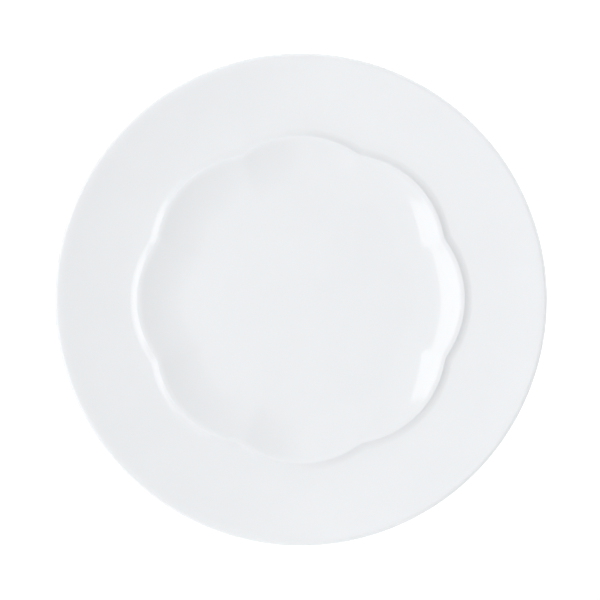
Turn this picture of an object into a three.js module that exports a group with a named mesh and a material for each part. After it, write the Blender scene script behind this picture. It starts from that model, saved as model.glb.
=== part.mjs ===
// Dinner plate in glazed white porcelain: a flat round well inside a scalloped
// eight-lobed edge, a wide round rim that rises gently to a rounded lip, and a
// foot ring underneath. Millimetres, +Z up, origin on the axis in the plane of
// the foot's bearing face, so the plate stands on z = 0.
//
// The plate is one pressed porcelain body. It is dipped in glaze and its foot is
// wiped bare before the glost firing, so the bare foot ring parts the glaze into
// two coats: one over the face, the lip and the underside of the rim, and one in
// the recess inside the foot.
import * as THREE from "three";

// ---- driving dimensions ------------------------------------------------------
const SEGMENTS = 64; // divisions round the axis, eight to a lobe
const GLAZE = 0.3; // fired thickness of each glaze coat
const LIP_DIAMETER = 270; // over the glaze
const WELL_HEIGHT = 10; // top of the well over the table, over the glaze
const LOBES = 8;
const LOBE_CENTRE = 35.7; // from the axis to the centre of each scallop's arcs
const WELL_LOBE = 28.4; // arc of a scallop along the edge of the flat well
const WELL_SOFTNESS = 0.8; // rounds the cusp between two of those arcs
const CREST_LOBE = 54; // arc of a scallop along the crest
const CREST_SOFTNESS = 0.45; // rounds the cusp between two of those arcs
const WALL_RISE = 6.2; // from the well up to where the wall would reach the crest
const SHOULDER = 2.9; // the wall rounds off over this distance inside the crest
const EDGE = 0.45; // and turns down over this distance outside it
const COVE = 4.5; // then hollows out into the rim over this distance
const COVE_POWER = 2; // the hollow's slope dies away evenly
const RIM_RISE = 3.85; // from the well up to the level part of the rim
const RIM_LEVEL_RADIUS = 86.5; // the rim is level here and curves up outwards
const RIM_OUTER_RADIUS = 129.5; // where the rim turns into the lip
const RIM_OUTER_SLOPE = 0.245; // slope of the rim there, about 14 degrees
const LIP_THICKNESS = 3.5; // of the body
const RECESS_HEIGHT = 5; // underside of the well over the table
const FOOT_INNER = 75.2; // bearing face of the foot ring, inner radius
const FOOT_OUTER = 78.6; // bearing face of the foot ring, outer radius
const GLAZE_LINE = 0.9; // the glaze stops this far over the bearing face

// ---- the body's own levels, under the glaze ----------------------------------
const wellZ = WELL_HEIGHT - GLAZE;
const rimZ = wellZ + RIM_RISE;
const rimCurve = RIM_OUTER_SLOPE / (2 * (RIM_OUTER_RADIUS - RIM_LEVEL_RADIUS));
const lipRadius = LIP_DIAMETER / 2 - GLAZE;

// Radius of a scalloped line at an angle: eight arcs of one radius, softened where
// they meet.
function scallop(angle, radius, softness) {
  const pitch = (2 * Math.PI) / LOBES;
  const nearest = Math.round(angle / pitch);
  const reach = LOBE_CENTRE + radius;
  let sum = 0;
  for (let k = nearest - 1; k <= nearest + 1; k++) {
    const a = angle - k * pitch;
    const s = LOBE_CENTRE * Math.sin(a);
    const half = Math.sqrt(Math.max(radius * radius - s * s, 1));
    sum += Math.exp((LOBE_CENTRE * Math.cos(a) + half - reach) / softness);
  }
  return reach + softness * Math.log(sum);
}
const wellEdge = (a) => scallop(a, WELL_LOBE, WELL_SOFTNESS);
const crest = (a) => scallop(a, CREST_LOBE, CREST_SOFTNESS);

// Height of the plain rim at a radius.
const overLevel = (r) => Math.max(0, r - RIM_LEVEL_RADIUS);
const rimHeight = (r) => rimZ + rimCurve * overLevel(r) ** 2;

// Height of the wall: a parabola that starts level at the edge of the well.
const wallHeight = (r, a) =>
  wellZ + WALL_RISE * ((r - wellEdge(a)) / (crest(a) - wellEdge(a))) ** 2;

// Height of the shoulder: the wall rounds off until it is level at the crest.
function shoulderHeight(r, a) {
  const start = crest(a) - SHOULDER;
  const slope =
    (2 * WALL_RISE * (start - wellEdge(a))) / (crest(a) - wellEdge(a)) ** 2;
  const x = r - start;
  return wallHeight(start, a) + slope * (x - x ** 2 / (2 * SHOULDER));
}

// Height outside the crest: a crisp turn down, then a hollow that runs out level
// into the rim.
function outsideHeight(r, a) {
  const drop = shoulderHeight(crest(a), a) - rimHeight(crest(a));
  const slope = drop / (EDGE / 2 + COVE / COVE_POWER);
  const x = r - crest(a);
  const left = Math.max(0, 1 - (x - EDGE) / COVE);
  const over =
    x < EDGE
      ? drop - (slope * x ** 2) / (2 * EDGE)
      : ((slope * COVE) / COVE_POWER) * left ** COVE_POWER;
  return rimHeight(r) + over;
}

// ---- stations of the body's skin, from the centre of the face round the lip and
// the foot to the centre of the underside. Each gives [radius, height] at an angle.
const face = [
  () => [0, wellZ],
  () => [32, wellZ],
  (a) => [wellEdge(a), wellZ],
];
for (const v of [0.24, 0.45, 0.64, 0.82, 1])
  face.push((a) => {
    const r = wellEdge(a) + v * (crest(a) - SHOULDER - wellEdge(a));
    return [r, wallHeight(r, a)];
  });
for (const v of [0.34, 0.68, 1])
  face.push((a) => {
    const r = crest(a) - SHOULDER + v * SHOULDER;
    return [r, shoulderHeight(r, a)];
  });
for (const x of [EDGE, EDGE + 0.2 * COVE, EDGE + 0.5 * COVE, EDGE + COVE])
  face.push((a) => [crest(a) + x, outsideHeight(crest(a) + x, a)]);
for (const v of [0.35, 0.68, 1])
  face.push((a) => {
    const inner = crest(a) + EDGE + COVE;
    const r = inner + v * (RIM_OUTER_RADIUS - inner);
    return [r, rimHeight(r)];
  });

// The lip: the rim levels off to its highest line, then half an ellipse.
const lipHalf = LIP_THICKNESS / 2;
const lipTop = new THREE.Vector2(
  lipRadius - 1.8,
  rimHeight(RIM_OUTER_RADIUS) + 0.45,
);
const levelling = new THREE.QuadraticBezierCurve(
  new THREE.Vector2(RIM_OUTER_RADIUS, rimHeight(RIM_OUTER_RADIUS)),
  new THREE.Vector2(
    RIM_OUTER_RADIUS + 0.45 / RIM_OUTER_SLOPE,
    rimHeight(RIM_OUTER_RADIUS) + 0.45,
  ),
  lipTop,
);
const rounding = new THREE.EllipseCurve(
  lipTop.x,
  lipTop.y - lipHalf,
  1.8,
  lipHalf,
  Math.PI / 2,
  -Math.PI / 2,
  true,
);
const plain = (p) => () => [p.x, p.y];
const lip = [levelling.getPoint(0.5), ...rounding.getPoints(6)].map(plain);

// The underside of the rim and the outer flank of the foot, down to the glaze line.
const underside = [
  [129.5, lipTop.y - LIP_THICKNESS - 0.55],
  [120, rimHeight(120) - 3.9],
  [110, rimHeight(110) - 4.1],
  [100, rimHeight(100) - 4.2],
  [91.5, 9],
  [86, 8.4],
  [83.4, 7.4],
  [81.7, 5.6],
  [80.5, 3.3],
  [FOOT_OUTER + 1, GLAZE_LINE],
].map(([r, z]) => () => [r, z]);

// The bare foot, between the two glaze lines.
const foot = [
  [FOOT_OUTER + 0.6, 0.3],
  [FOOT_OUTER, 0],
  [FOOT_INNER, 0],
  [FOOT_INNER - 0.6, 0.3],
].map(([r, z]) => () => [r, z]);

// The recess inside the foot.
const recess = [
  [FOOT_INNER - 1, GLAZE_LINE],
  [73.2, 3],
  [71.7, 4.6],
  [69.6, RECESS_HEIGHT],
  [35, RECESS_HEIGHT],
  [0, RECESS_HEIGHT],
].map(([r, z]) => () => [r, z]);

// ---- rings and skins -----------------------------------------------------------
// Each station as a ring of points, or as one point on the axis.
const stations = [...face, ...lip, ...underside, ...foot, ...recess];
const angleOf = (j) => ((j % SEGMENTS) * 2 * Math.PI) / SEGMENTS;
const bodyRings = stations.map((station) => {
  if (station(0)[0] === 0) return [new THREE.Vector3(0, 0, station(0)[1])];
  return Array.from({ length: SEGMENTS }, (_, j) => {
    const [r, z] = station(angleOf(j));
    return new THREE.Vector3(
      r * Math.cos(angleOf(j)),
      r * Math.sin(angleOf(j)),
      z,
    );
  });
});
const at = (ring, j) =>
  ring[ring.length === 1 ? 0 : (j + SEGMENTS) % SEGMENTS];

// The same rings moved out by the glaze's thickness along the surface.
function glazeOver(rings) {
  return rings.map((ring, k) => {
    if (ring.length === 1) {
      const up = k === 0 && ring[0].z > RECESS_HEIGHT + 1 ? 1 : -1;
      return [new THREE.Vector3(0, 0, ring[0].z + up * GLAZE)];
    }
    const before = rings[Math.max(0, k - 1)];
    const after = rings[Math.min(rings.length - 1, k + 1)];
    return ring.map((p, j) => {
      const flat = (q) => Math.abs(q.z - p.z) < 1e-9;
      const level = [before, after].some((near) => near !== ring && flat(at(near, j)));
      const along = level
        ? new THREE.Vector3(p.x, p.y, 0).multiplyScalar(
            p.z > RECESS_HEIGHT + 1 ? 1 : -1,
          )
        : at(after, j)
            .clone()
            .sub(p)
            .normalize()
            .add(p.clone().sub(at(before, j)).normalize());
      const round = at(ring, j + 1).clone().sub(at(ring, j - 1));
      return p
        .clone()
        .addScaledVector(along.cross(round).normalize(), GLAZE);
    });
  });
}

// A closed skin over a run of rings. Where a run goes back over another piece's
// rings, crossed(k) turns the diagonals of that strip so that the two skins agree.
function skin(rings, crossed = () => false) {
  const points = [];
  const first = rings.map((ring) => {
    const start = points.length / 3;
    for (const p of ring) points.push(p.x, p.y, p.z);
    return start;
  });
  const index = [];
  for (let k = 0; k < rings.length - 1; k++) {
    const next = k + 1;
    const id = (ring, j) =>
      first[ring] + (rings[ring].length === 1 ? 0 : j % SEGMENTS);
    for (let j = 0; j < SEGMENTS; j++) {
      const a = id(k, j);
      const b = id(k, j + 1);
      const c = id(next, j + 1);
      const d = id(next, j);
      if (rings[k].length === 1) index.push(a, d, c);
      else if (rings[next].length === 1) index.push(a, d, b);
      else if (crossed(k)) index.push(a, d, c, a, c, b);
      else index.push(a, d, b, b, d, c);
    }
  }
  const geometry = new THREE.BufferGeometry();
  geometry.setAttribute(
    "position",
    new THREE.Float32BufferAttribute(points, 3),
  );
  geometry.setIndex(index);
  geometry.computeVertexNormals();
  return geometry;
}

// ---- the three pieces ------------------------------------------------------------
const faceCount = face.length + lip.length + underside.length;
const faceRings = bodyRings.slice(0, faceCount);
const recessRings = bodyRings.slice(faceCount + foot.length);
const faceOver = glazeOver(faceRings);
const recessOver = glazeOver(recessRings);

const barePorcelain = new THREE.MeshStandardMaterial({
  name: "bare_porcelain",
  color: new THREE.Color().setRGB(0.71, 0.68, 0.64),
  roughness: 0.75,
  metalness: 0,
});
const whiteGlaze = new THREE.MeshStandardMaterial({
  name: "white_glaze",
  color: new THREE.Color().setRGB(0.8, 0.817, 0.835),
  roughness: 0.08,
  metalness: 0,
});

const plate = new THREE.Group();
plate.name = "plate";

function piece(name, geometry, material) {
  const mesh = new THREE.Mesh(geometry, material);
  mesh.name = name;
  plate.add(mesh);
  return mesh;
}

// The pressed body, with its bare foot ring.
piece("porcelain_body", skin(bodyRings), barePorcelain);

// The coat over the face, lip and underside of the rim: out over the glaze, back
// over the body.
piece(
  "face_glaze",
  skin(
    [...faceOver, ...faceRings.slice().reverse()],
    (k) => k >= faceOver.length,
  ),
  whiteGlaze,
);

// The coat in the recess: out over the glaze from the foot to the axis, and back.
piece(
  "recess_glaze",
  skin(
    [...recessRings.slice().reverse(), ...recessOver],
    (k) => k < recessRings.length - 1,
  ),
  whiteGlaze,
);

export default plate;
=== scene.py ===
import math

import bpy
import numpy as np
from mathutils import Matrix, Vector


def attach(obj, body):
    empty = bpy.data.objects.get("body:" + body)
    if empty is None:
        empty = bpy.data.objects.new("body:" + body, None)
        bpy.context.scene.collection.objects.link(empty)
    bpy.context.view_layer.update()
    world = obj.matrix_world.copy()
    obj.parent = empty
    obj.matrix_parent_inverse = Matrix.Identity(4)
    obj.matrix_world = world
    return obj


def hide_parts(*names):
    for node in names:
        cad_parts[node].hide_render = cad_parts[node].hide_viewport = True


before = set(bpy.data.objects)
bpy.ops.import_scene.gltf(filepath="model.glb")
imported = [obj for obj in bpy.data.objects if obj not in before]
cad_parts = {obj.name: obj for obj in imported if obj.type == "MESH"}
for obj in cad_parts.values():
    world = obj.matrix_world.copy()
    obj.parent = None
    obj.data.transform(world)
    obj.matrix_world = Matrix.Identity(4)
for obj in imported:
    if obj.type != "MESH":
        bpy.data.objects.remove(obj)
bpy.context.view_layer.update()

MM = 0.001

# ---------------------------------------------------------------- dimensions (mm)
SEG = 384  # divisions round the axis on the surfaces that show
INNER_SEG = 192  # and on the faces between body and glaze
GLAZE = 0.3
LIP_RADIUS = 135.0 - GLAZE
WELL_Z = 10.0 - GLAZE
LOBES = 8
LOBE_CENTRE = 35.7
WELL_LOBE = 28.4
WELL_SOFTNESS = 0.8
CREST_LOBE = 54.0
CREST_SOFTNESS = 0.45
WALL_RISE = 6.2
SHOULDER = 2.9
EDGE = 0.45
COVE = 4.5
COVE_POWER = 2.0
RIM_RISE = 3.85
RIM_LEVEL_RADIUS = 86.5
RIM_OUTER_RADIUS = 129.5
RIM_OUTER_SLOPE = 0.245
LIP_THICKNESS = 3.5
RECESS_Z = 5.0
FOOT_INNER = 75.2
FOOT_OUTER = 78.6
GLAZE_LINE = 0.9

RIM_Z = WELL_Z + RIM_RISE
RIM_CURVE = RIM_OUTER_SLOPE / (2 * (RIM_OUTER_RADIUS - RIM_LEVEL_RADIUS))


# ---------------------------------------------------------------- the profile
def scallop(angle, radius, softness):
    """Radius of a scalloped line: eight arcs of one radius, softened where they meet."""
    pitch = 2 * math.pi / LOBES
    nearest = np.round(angle / pitch)
    reach = LOBE_CENTRE + radius
    total = np.zeros_like(angle)
    for k in (-1, 0, 1):
        a = angle - (nearest + k) * pitch
        half = np.sqrt(np.maximum(radius**2 - (LOBE_CENTRE * np.sin(a)) ** 2, 1))
        total += np.exp((LOBE_CENTRE * np.cos(a) + half - reach) / softness)
    return reach + softness * np.log(total)


def rim_height(r):
    return RIM_Z + RIM_CURVE * np.maximum(0, np.asarray(r, float) - RIM_LEVEL_RADIUS) ** 2


def wall_height(r):
    """The wall from the well's edge to the crest, a parabola that starts level at the well."""
    return WELL_Z + WALL_RISE * (np.maximum(0, r - well) / (crest - well)) ** 2


def shoulder_height(r):
    """The wall rounds off, from its slope at the start of the shoulder to level at the crest."""
    start = crest - SHOULDER
    x = r - start
    slope = 2 * WALL_RISE * (start - well) / (crest - well) ** 2
    return wall_height(start) + slope * (x - x**2 / (2 * SHOULDER))


def outside_height(r):
    """Outside the crest: a crisp turn down, then a cove that runs out level into the rim."""
    drop = shoulder_height(crest) - rim_height(crest)
    slope = drop / (EDGE / 2 + COVE / COVE_POWER)
    x = r - crest
    turn = drop - slope * x**2 / (2 * EDGE)
    cove = slope * COVE / COVE_POWER * np.clip(1 - (x - EDGE) / COVE, 0, 1) ** COVE_POWER
    return rim_height(r) + np.where(x < EDGE, turn, cove)


def spline(points, steps):
    """A natural cubic through points, by chord length, at that many steps a span."""
    p = np.asarray(points, float)
    h = np.linalg.norm(np.diff(p, axis=0), axis=1)
    n = len(p)
    a = np.zeros((n, n))
    b = np.zeros((n, 2))
    a[0, 0] = a[-1, -1] = 1
    for i in range(1, n - 1):
        a[i, i - 1], a[i, i], a[i, i + 1] = h[i - 1], 2 * (h[i - 1] + h[i]), h[i]
        b[i] = 6 * ((p[i + 1] - p[i]) / h[i] - (p[i] - p[i - 1]) / h[i - 1])
    m = np.linalg.solve(a, b)
    out = []
    for i in range(n - 1):
        count = steps[i] if hasattr(steps, "__len__") else steps
        for s in np.arange(count) / count:
            x, y = (1 - s) * h[i], s * h[i]
            out.append(
                (m[i] * x**3 + m[i + 1] * y**3) / (6 * h[i])
                + (p[i] / h[i] - m[i] * h[i] / 6) * x
                + (p[i + 1] / h[i] - m[i + 1] * h[i] / 6) * y
            )
    out.append(p[-1])
    return [tuple(q) for q in out]


theta = np.arange(SEG) * 2 * math.pi / SEG
well = scallop(theta, WELL_LOBE, WELL_SOFTNESS)
crest = scallop(theta, CREST_LOBE, CREST_SOFTNESS)
ones = np.ones(SEG)


def fixed(r, z):
    return r * ones, z * ones


def face_stations(fine):
    """The face from the centre to the start of the lip, as (radius, height) round the axis."""
    rows = [fixed(r, WELL_Z) for r in (0, 4, 8, 16, 32, 48)]
    rows.append((well, WELL_Z * ones))
    if fine:
        wall, top, turn, cove, rim = (np.linspace(0, 1, n + 1)[1:] for n in (26, 14, 6, 18, 18))
    else:
        wall, top, turn, cove, rim = (np.linspace(0, 1, n + 1)[1:] for n in (9, 4, 2, 5, 5))
    for v in wall:
        r = well + v * (crest - SHOULDER - well)
        rows.append((r, wall_height(r)))
    for v in top:
        r = crest - SHOULDER + v * SHOULDER
        rows.append((r, shoulder_height(r)))
    for v in turn:
        r = crest + v * EDGE
        rows.append((r, outside_height(r)))
    for v in cove**1.3:
        r = crest + EDGE + v * COVE
        rows.append((r, outside_height(r)))
    for v in rim:
        inner = crest + EDGE + COVE
        r = inner + v * (RIM_OUTER_RADIUS - inner)
        rows.append((r, rim_height(r)))
    return rows


def lip_stations(fine):
    z0 = float(rim_height(RIM_OUTER_RADIUS))
    top = (LIP_RADIUS - 1.8, z0 + 0.45)
    knee = (RIM_OUTER_RADIUS + 0.45 / RIM_OUTER_SLOPE, z0 + 0.45)
    rows = []
    for s in np.linspace(0, 1, 13 if fine else 4)[1:]:
        rows.append(
            tuple(
                (1 - s) ** 2 * a + 2 * s * (1 - s) * b + s * s * c
                for a, b, c in zip((RIM_OUTER_RADIUS, z0), knee, top)
            )
        )
    for a in np.linspace(math.pi / 2, -math.pi / 2, 33 if fine else 9)[1:]:
        rows.append(
            (
                top[0] + 1.8 * math.cos(a),
                top[1] - LIP_THICKNESS / 2 + LIP_THICKNESS / 2 * math.sin(a),
            )
        )
    return [fixed(*p) for p in rows]


LIP_TOP_Z = float(rim_height(RIM_OUTER_RADIUS)) + 0.45
UNDERSIDE = [
    (LIP_RADIUS - 1.8, LIP_TOP_Z - LIP_THICKNESS),
    (129.5, LIP_TOP_Z - LIP_THICKNESS - 0.55),
    (120.0, float(rim_height(120)) - 3.9),
    (110.0, float(rim_height(110)) - 4.1),
    (100.0, float(rim_height(100)) - 4.2),
    (91.5, 9.0),
    (86.0, 8.4),
    (83.4, 7.4),
    (81.7, 5.6),
    (80.5, 3.3),
    (FOOT_OUTER + 1.0, GLAZE_LINE),
]
RECESS = [
    (FOOT_INNER - 1.0, GLAZE_LINE),
    (73.2, 3.0),
    (71.7, 4.6),
    (69.6, RECESS_Z),
]


def underside_stations(fine):
    rows = spline(UNDERSIDE, [3, 4, 4, 4, 4, 5, 5, 5, 5, 8] if fine else 2)
    return [fixed(*p) for p in rows[1:]]


def foot_stations():
    """The bare foot between the two glaze lines: two small rounds and the bearing face."""
    outer = spline([(FOOT_OUTER + 1.0, GLAZE_LINE), (FOOT_OUTER + 0.58, 0.26), (FOOT_OUTER, 0.0)], 5)[1:]
    inner = spline([(FOOT_INNER, 0.0), (FOOT_INNER - 0.58, 0.26), (FOOT_INNER - 1.0, GLAZE_LINE)], 5)[:-1]
    flat = [(FOOT_OUTER + (FOOT_INNER - FOOT_OUTER) * s, 0.0) for s in (0.33, 0.67)]
    return [fixed(*p) for p in [*outer, *flat, *inner]]


def recess_stations(fine):
    rows = spline(RECESS, [10, 6, 6] if fine else 3)
    flat = [(r, RECESS_Z) for r in (50, 32, 16, 8, 4, 0)]
    return [fixed(*p) for p in [*rows, *flat]]


def rings(rows):
    """Stations as an array of points: station, angle, xyz, in millimetres."""
    r = np.array([a for a, _ in rows])
    z = np.array([b for _, b in rows])
    return np.stack([r * np.cos(theta), r * np.sin(theta), z], -1)


def normals(points):
    """Outward normals of a run of rings that goes from the face's centre outwards."""
    along = np.empty_like(points)
    step = np.diff(points, axis=0)
    step /= np.maximum(np.linalg.norm(step, axis=-1, keepdims=True), 1e-9)
    along[0], along[-1] = step[0], step[-1]
    along[1:-1] = step[:-1] + step[1:]
    around = np.roll(points, -1, 1) - np.roll(points, 1, 1)
    n = np.cross(along, around)
    size = np.linalg.norm(n, axis=-1, keepdims=True)
    return np.where(size > 1e-9, n / np.maximum(size, 1e-9), 0)


class Skin:
    """A closed mesh made of rings of points joined by strips."""

    def __init__(self):
        self.points, self.faces, self.runs = [], [], []

    def ring(self, points):
        start = len(self.points)
        self.points.extend(map(tuple, points * MM))
        self.runs.append((start, len(points)))

    def strip(self, first, second):
        (a, n), (b, m) = self.runs[first], self.runs[second]
        p = lambda j: a + j % n
        q = lambda j: b + j % m
        if n == 1:
            self.faces += [(a, q(j), q(j + 1)) for j in range(m)]
        elif m == 1:
            self.faces += [(p(j), b, p(j + 1)) for j in range(n)]
        elif n == m:
            self.faces += [(p(j), q(j), q(j + 1), p(j + 1)) for j in range(n)]
        elif m == 2 * n:
            for k in range(n):
                self.faces += [
                    (p(k), q(2 * k), q(2 * k + 1)),
                    (p(k), q(2 * k + 1), p(k + 1)),
                    (p(k + 1), q(2 * k + 1), q(2 * k + 2)),
                ]
        else:
            assert n == 2 * m
            for k in range(m):
                self.faces += [
                    (p(2 * k), q(k), p(2 * k + 1)),
                    (p(2 * k + 1), q(k), q(k + 1)),
                    (p(2 * k + 1), q(k + 1), p(2 * k + 2)),
                ]

    def run(self, points, most):
        """Rings along a run, with fewer points where the rings are small."""
        first = len(self.runs)
        for ring in points:
            r = np.linalg.norm(ring[0, :2])
            count = most
            for limit, few in ((0.01, 1), (5, 24), (9, 48), (17, 96), (33, 192)):
                if r < limit:
                    count = min(most, few)
                    break
            self.ring(ring[:1] if count == 1 else ring[:: SEG // count])
        for k in range(max(first, 1), len(self.runs)):
            self.strip(k - 1, k)

    def make(self, name):
        mesh = bpy.data.meshes.new(name)
        mesh.from_pydata(self.points, [], self.faces)
        mesh.validate()
        mesh.shade_smooth()
        ob = bpy.data.objects.new(name, mesh)
        bpy.context.scene.collection.objects.link(ob)
        return ob


# ---------------------------------------------------------------- the pieces
face_rows = face_stations(True) + lip_stations(True) + underside_stations(True)
face_points = rings(face_rows)
face_coarse = rings(face_stations(False) + lip_stations(False) + underside_stations(False))
recess_points = rings(recess_stations(True))
recess_coarse = rings(recess_stations(False))
foot_points = rings(foot_stations())


def thickness(points):
    """The coat's thickness at each ring: even, with a small bead that closes on the glaze line."""
    d = np.linalg.norm(points - points[-1:], axis=-1)[:, 0]
    end = np.clip(d / 0.5, 0, 1)
    return GLAZE * (np.sqrt(1 - (1 - end) ** 2) + 0.35 * np.exp(-(((d - 0.9) / 0.5) ** 2)))


# Face coat: over the glaze from the centre to the glaze line, and back on the body.
over = face_points + normals(face_points) * thickness(face_points)[:, None, None]
flat = np.abs(face_points[:, 0, 2] - WELL_Z) < 1e-6
over[flat] = face_points[flat] + np.array([0, 0, GLAZE])
skin = Skin()
skin.run(over, SEG)
skin.run(face_coarse[-2::-1], INNER_SEG)
face_glaze = skin.make("glaze_face")

# Recess coat: along the body from the centre to the foot, and back over the glaze.
recess_out = recess_points[::-1]
thick = thickness(recess_out)
recess_over = recess_points + normals(recess_points) * thick[::-1][:, None, None]
level = np.abs(recess_points[:, 0, 2] - RECESS_Z) < 1e-6
recess_over[level] = recess_points[level] - np.array([0, 0, GLAZE])
skin = Skin()
skin.run(recess_coarse[::-1], INNER_SEG)
skin.run(recess_over[1:], SEG)
recess_glaze = skin.make("glaze_recess")

# Body: its face under the glaze, the bare foot, and the recess under the glaze.
skin = Skin()
skin.run(face_coarse[:-1], INNER_SEG)
skin.run(np.concatenate([face_points[-1:], foot_points, recess_points[:1]]), SEG)
skin.run(recess_coarse[1:], INNER_SEG)
body = skin.make("porcelain_foot_and_body")


# ---------------------------------------------------------------- materials
def nodes_of(name):
    mat = bpy.data.materials.new(name)
    mat.use_nodes = True
    tree = mat.node_tree
    shader = tree.nodes["Principled BSDF"]
    return mat, tree, shader


def noise(tree, scale, detail=2.0, rough=0.5):
    place = tree.nodes.get("place") or tree.nodes.new("ShaderNodeTexCoord")
    place.name = "place"
    n = tree.nodes.new("ShaderNodeTexNoise")
    n.inputs["Scale"].default_value = scale
    n.inputs["Detail"].default_value = detail
    n.inputs["Roughness"].default_value = rough
    tree.links.new(place.outputs["Object"], n.inputs["Vector"])
    return n.outputs["Fac"]


def remap(tree, value, low, high, to_low, to_high):
    n = tree.nodes.new("ShaderNodeMapRange")
    for name, v in (("From Min", low), ("From Max", high), ("To Min", to_low), ("To Max", to_high)):
        n.inputs[name].default_value = v
    tree.links.new(value, n.inputs["Value"])
    return n.outputs["Result"]


def mix(tree, factor, a, b):
    n = tree.nodes.new("ShaderNodeMix")
    n.data_type = "RGBA"
    tree.links.new(factor, n.inputs["Factor"])
    for socket, v in ((n.inputs[6], a), (n.inputs[7], b)):
        if isinstance(v, tuple):
            socket.default_value = (*v, 1)
        else:
            tree.links.new(v, socket)
    return n.outputs[2]


def bump(tree, height, distance, strength=1.0, after=None):
    n = tree.nodes.new("ShaderNodeBump")
    n.inputs["Strength"].default_value = strength
    n.inputs["Distance"].default_value = distance
    tree.links.new(height, n.inputs["Height"])
    if after is not None:
        tree.links.new(after, n.inputs["Normal"])
    return n.outputs["Normal"]


# Glaze: opaque white with a slight cool cast, mirror-like, with the faint mottle and
# slow waviness of a fired coat.
glaze, tree, shader = nodes_of("white_glaze")
mottle = remap(tree, noise(tree, 42, 3), 0.3, 0.7, 0, 1)
tree.links.new(mix(tree, mottle, (0.795, 0.812, 0.830), (0.805, 0.822, 0.840)), shader.inputs["Base Color"])
tree.links.new(remap(tree, noise(tree, 130, 2), 0.3, 0.7, 0.05, 0.08), shader.inputs["Roughness"])
wave = bump(tree, noise(tree, 38, 1), 0.00004)
peel = bump(tree, noise(tree, 420, 2), 0.0000025, after=wave)
tree.links.new(peel, shader.inputs["Normal"])
shader.inputs["IOR"].default_value = 1.5

# Bare porcelain: matt, a warm off-white with a fine sandy grain and faint grey rub marks.
bare, tree, shader = nodes_of("bare_porcelain")
grain = noise(tree, 2600, 4, 0.7)
rub = remap(tree, noise(tree, 160, 5, 0.65), 0.52, 0.7, 0, 1)
clay = mix(tree, remap(tree, grain, 0.3, 0.7, 0, 1), (0.66, 0.63, 0.58), (0.76, 0.735, 0.69))
tree.links.new(mix(tree, rub, clay, (0.56, 0.545, 0.52)), shader.inputs["Base Color"])
tree.links.new(remap(tree, grain, 0.3, 0.7, 0.72, 0.9), shader.inputs["Roughness"])
tree.links.new(bump(tree, grain, 0.00005), shader.inputs["Normal"])

for ob, node, slot, mat in (
    (face_glaze, "face_glaze", "white_glaze", glaze),
    (recess_glaze, "recess_glaze", "white_glaze", glaze),
    (body, "porcelain_body", "bare_porcelain", bare),
):
    ob.data.materials.append(mat)
    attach(ob, "root")
    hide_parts(node)

# ---------------------------------------------------------------- stage, light, camera
mesh = bpy.data.meshes.new("floor")
s = 20.0
mesh.from_pydata([(-s, -s, -0.0001), (s, -s, -0.0001), (s, s, -0.0001), (-s, s, -0.0001)], [], [(0, 1, 2, 3)])
floor = bpy.data.objects.new("floor", mesh)
bpy.context.scene.collection.objects.link(floor)
white, tree, shader = nodes_of("floor_white")
shader.inputs["Base Color"].default_value = (0.8, 0.8, 0.8, 1)
shader.inputs["Roughness"].default_value = 0.9
shader.inputs["Specular IOR Level"].default_value = 0.0
shader.inputs["Emission Color"].default_value = (1, 1, 1, 1)
# Painted light: the floor glows in a ring round the plate, strongest just outside the outline and fading outwards,
# so that it stays white up to the outline over the plate's shadow; under the plate it does not glow, and its
# shadow lies there.
place = tree.nodes.new("ShaderNodeTexCoord")
away = tree.nodes.new("ShaderNodeVectorMath")
away.operation = "LENGTH"
tree.links.new(place.outputs["Object"], away.inputs[0])
near = remap(tree, away.outputs["Value"], 0.126, 0.137, 0, 1)
far = remap(tree, away.outputs["Value"], 0.14, 0.24, 0.6, 0.2)
# painted light: the glowing ring that whitens the plate's shadow just outside the outline
painted_ring_glow = tree.nodes.new("ShaderNodeMath")
painted_ring_glow.operation = "MULTIPLY"
tree.links.new(near, painted_ring_glow.inputs[0])
tree.links.new(far, painted_ring_glow.inputs[1])
tree.links.new(painted_ring_glow.outputs[0], shader.inputs["Emission Strength"])
floor.data.materials.append(white)


# The light is a white studio dome: a fill that fades low on the right and near the floor, a
# narrow bank of light overhead, a tall soft box on the left that the far wall mirrors, and
# a white sweep that carries the floor up all round, brighter behind on the right.
FILL, FILL_X, FILL_Y, FILL_XX, FILL_YY = 0.732, -0.15, -0.092, 0.13, 0.383
FADE, FADE_X, FADE_SOFT = 0.255, 0.653, 0.082
BANK, BANK_X, BANK_HALF, BANK_SOFT = 0.512, -0.041, 0.069, 0.225
BOX, BOX_FAR, BOX_NEAR, BOX_X_SOFT = 1.93, -0.893, -0.421, 0.012
BOX_Y, BOX_HALF, BOX_Y_SOFT = 0.016, 0.376, 0.035
LOW, LOW_Z, LOW_SOFT = 0.23, 0.16, 0.16
KICK, KICK_TURN, KICK_EDGE, KICK_SOFT = 2.4, 35, 0.6, 0.4
DARK, DARK_TURN, DARK_EDGE, DARK_SOFT = 0.645, -26, 0.86, 0.14
HORIZON, HORIZON_Z, HORIZON_SOFT = 1.04, 0.1, 0.03

world = bpy.data.worlds.new("studio")
bpy.context.scene.world = world
world.use_nodes = True
sky = world.node_tree
look = sky.nodes.new("ShaderNodeTexCoord")
split = sky.nodes.new("ShaderNodeSeparateXYZ")
sky.links.new(look.outputs["Generated"], split.inputs["Vector"])
AXIS = {"x": split.outputs["X"], "y": split.outputs["Y"], "z": split.outputs["Z"]}


def step(axis, edge, soft, rising):
    n = sky.nodes.new("ShaderNodeMapRange")
    n.interpolation_type = "SMOOTHSTEP"
    n.inputs["From Min"].default_value = edge - soft / 2
    n.inputs["From Max"].default_value = edge + soft / 2
    n.inputs["To Min"].default_value = 0.0 if rising else 1.0
    n.inputs["To Max"].default_value = 1.0 if rising else 0.0
    sky.links.new(AXIS[axis], n.inputs["Value"])
    return n.outputs["Result"]


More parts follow.
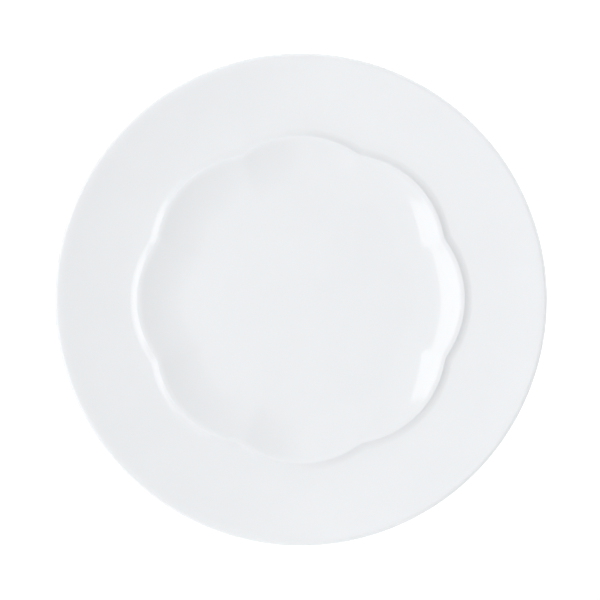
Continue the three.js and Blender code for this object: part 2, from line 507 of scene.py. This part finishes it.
def combine(operation, a, b):
    n = sky.nodes.new("ShaderNodeMath")
    n.operation = operation
    for socket, v in zip(n.inputs, (a, b)):
        if isinstance(v, float):
            socket.default_value = v
        else:
            sky.links.new(v, socket)
    return n.outputs[0]


def patch(strength, *edges):
    value = strength
    for e in edges:
        value = combine("MULTIPLY", e, value)
    return value


def turned(degrees):
    """How far a direction points towards the side of the stage at that angle from +X."""
    a = math.radians(degrees)
    return combine("ADD", combine("MULTIPLY", AXIS["x"], math.cos(a)), combine("MULTIPLY", AXIS["y"], math.sin(a)))


x, y = AXIS["x"], AXIS["y"]
fill = combine("ADD", combine("MULTIPLY", x, -FILL * FILL_X), combine("MULTIPLY", y, FILL * FILL_Y))
fill = combine("ADD", fill, combine("MULTIPLY", combine("MULTIPLY", x, x), FILL * FILL_XX))
fill = combine("ADD", fill, combine("MULTIPLY", combine("MULTIPLY", y, y), FILL * FILL_YY))
fill = combine("ADD", fill, FILL)
bank = patch(BANK, step("x", BANK_X - BANK_HALF, BANK_SOFT, True), step("x", BANK_X + BANK_HALF, BANK_SOFT, False))
box = patch(
    BOX,
    step("x", BOX_FAR, BOX_X_SOFT, True),
    step("x", BOX_NEAR, BOX_X_SOFT, False),
    step("y", BOX_Y - BOX_HALF, BOX_Y_SOFT, True),
    step("y", BOX_Y + BOX_HALF, BOX_Y_SOFT, False),
)
fade = combine("SUBTRACT", 1.0, patch(FADE, step("x", FADE_X, FADE_SOFT, True)))
AXIS["kick"] = turned(KICK_TURN)
AXIS["dark"] = turned(DARK_TURN)
sweep = combine("ADD", HORIZON, patch(KICK, step("kick", KICK_EDGE, KICK_SOFT, True)))
dark = combine("SUBTRACT", 1.0, patch(DARK, step("dark", DARK_EDGE, DARK_SOFT, True)))
fade = combine("MULTIPLY", fade, dark)
low = combine("SUBTRACT", 1.0, patch(LOW, step("z", LOW_Z, LOW_SOFT, False)))
total = combine("ADD", combine("MULTIPLY", combine("ADD", fill, bank), fade), box)
total = combine("MULTIPLY", combine("MULTIPLY", total, low), step("z", HORIZON_Z, HORIZON_SOFT, True))
total = combine("ADD", total, combine("MULTIPLY", sweep, step("z", HORIZON_Z, HORIZON_SOFT, False)))
sky.links.new(total, sky.nodes["Background"].inputs["Strength"])
sky.nodes["Background"].inputs["Color"].default_value = (1, 1, 1, 1)

CAMERA_HEIGHT = 1.6
PLATE_PIXELS = 246.3
cam = bpy.data.cameras.new("camera")
cam.sensor_width = 36.0
# The lip's outline is at about this height, where it is widest.
lip_depth = CAMERA_HEIGHT - (LIP_TOP_Z - LIP_THICKNESS / 2) * MM
cam.lens = 36.0 * (PLATE_PIXELS / 600) * lip_depth / 0.135
cam.shift_x = -0.75 / 600
cam.shift_y = -0.5 / 600
camera = bpy.data.objects.new("camera", cam)
camera.location = (0, 0, CAMERA_HEIGHT)
camera.rotation_euler = (0, 0, math.radians(-0.45))
bpy.context.scene.collection.objects.link(camera)
bpy.context.scene.camera = camera
bpy.context.scene.view_settings.view_transform = "Standard"
